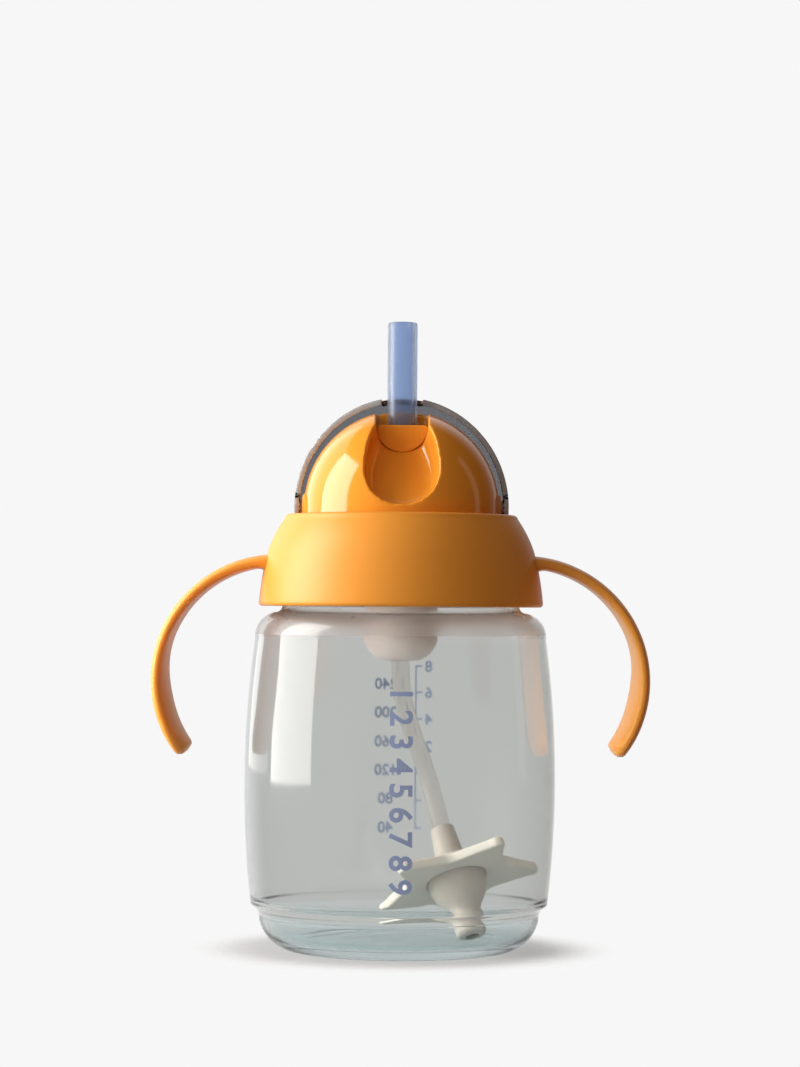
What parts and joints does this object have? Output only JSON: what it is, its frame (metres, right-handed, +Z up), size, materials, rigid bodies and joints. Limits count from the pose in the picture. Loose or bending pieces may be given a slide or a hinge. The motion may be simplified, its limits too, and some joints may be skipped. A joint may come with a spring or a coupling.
{
  "type": "weighted-straw sippy cup",
  "caption": "Toddler's straw cup: clear bottle, screw collar with two strap handles, domed flip-visor lid with fold-down straw, weighted inner straw.",
  "frame": {"origin": "centre of the bottle's foot, on the surface it stands on", "axes": "+Z up along the bottle's axis, -Y to the front (print, scoop and straw tongue), handles at -X and +X"},
  "size_m": [0.1248, 0.0778, 0.1566],
  "materials": {
    "clear_bottle": "blown, clear with a grey tint",
    "satin_orange": "satin moulded",
    "gloss_orange": "high gloss moulded",
    "smoke_visor": "clear smoke-tinted",
    "blue_silicone": "translucent soft-touch",
    "white_silicone": "translucent soft-touch",
    "clear_silicone": "clear soft-touch",
    "cream_plastic": "fine satin moulded",
    "cream_silicone": "fine satin moulded",
    "bare_steel": "turned"
  },
  "bodies": {
    "bottle": {"bottle": "clear_bottle"},
    "lid": {"dome": "gloss_orange", "straw_saddle": "gloss_orange", "straw_stem": "blue_silicone", "valve_plate": "gloss_orange", "lid_gasket": "white_silicone", "valve_bowl": "white_silicone", "slit_valve": "white_silicone", "air_vent_valve": "white_silicone"},
    "collar": {"collar": "satin_orange", "handle_left": "satin_orange", "handle_right": "satin_orange"},
    "visor": {"visor": "smoke_visor"},
    "straw_tip": {"straw_tip": "blue_silicone"},
    "weighted_straw": {"lower_tube": "clear_silicone", "weight_sleeve": "cream_plastic", "star_grip": "cream_silicone", "weight_bulb": "cream_plastic", "steel_weight": "bare_steel"}
  },
  "joints": [
    {"name": "lid_lift", "type": "slide", "parent": "bottle", "child": "lid", "axis": [0, 0, 1], "range_m": [0, 0.005]},
    {"name": "collar_turn", "type": "hinge", "parent": "lid", "child": "collar", "pos_m": [0, 0, 0.0854], "axis": [0, 0, 1], "range_deg": [0, 120]},
    {"name": "visor_swing", "type": "hinge", "parent": "lid", "child": "visor", "pos_m": [0, 0, 0.1102], "axis": [1, 0, 0], "range_deg": [0, 91]},
    {"name": "straw_fold", "type": "hinge", "parent": "lid", "child": "straw_tip", "pos_m": [0, -0.003, 0.1292], "axis": [1, 0, 0], "range_deg": [0, 134], "deforming": ["straw_tip"]},
    {"name": "weight_roam", "type": "hinge", "parent": "lid", "child": "weighted_straw", "pos_m": [0, 0, 0.0719], "axis": [0, 0, 1], "continuous": true}
  ],
  "couplings": [
    {"joint": "lid_lift", "follows": "collar_turn", "m_per_rad": 0.0023873},
    {"joint": "straw_fold", "follows": "visor_swing", "ratio": 1.47}
  ]
}
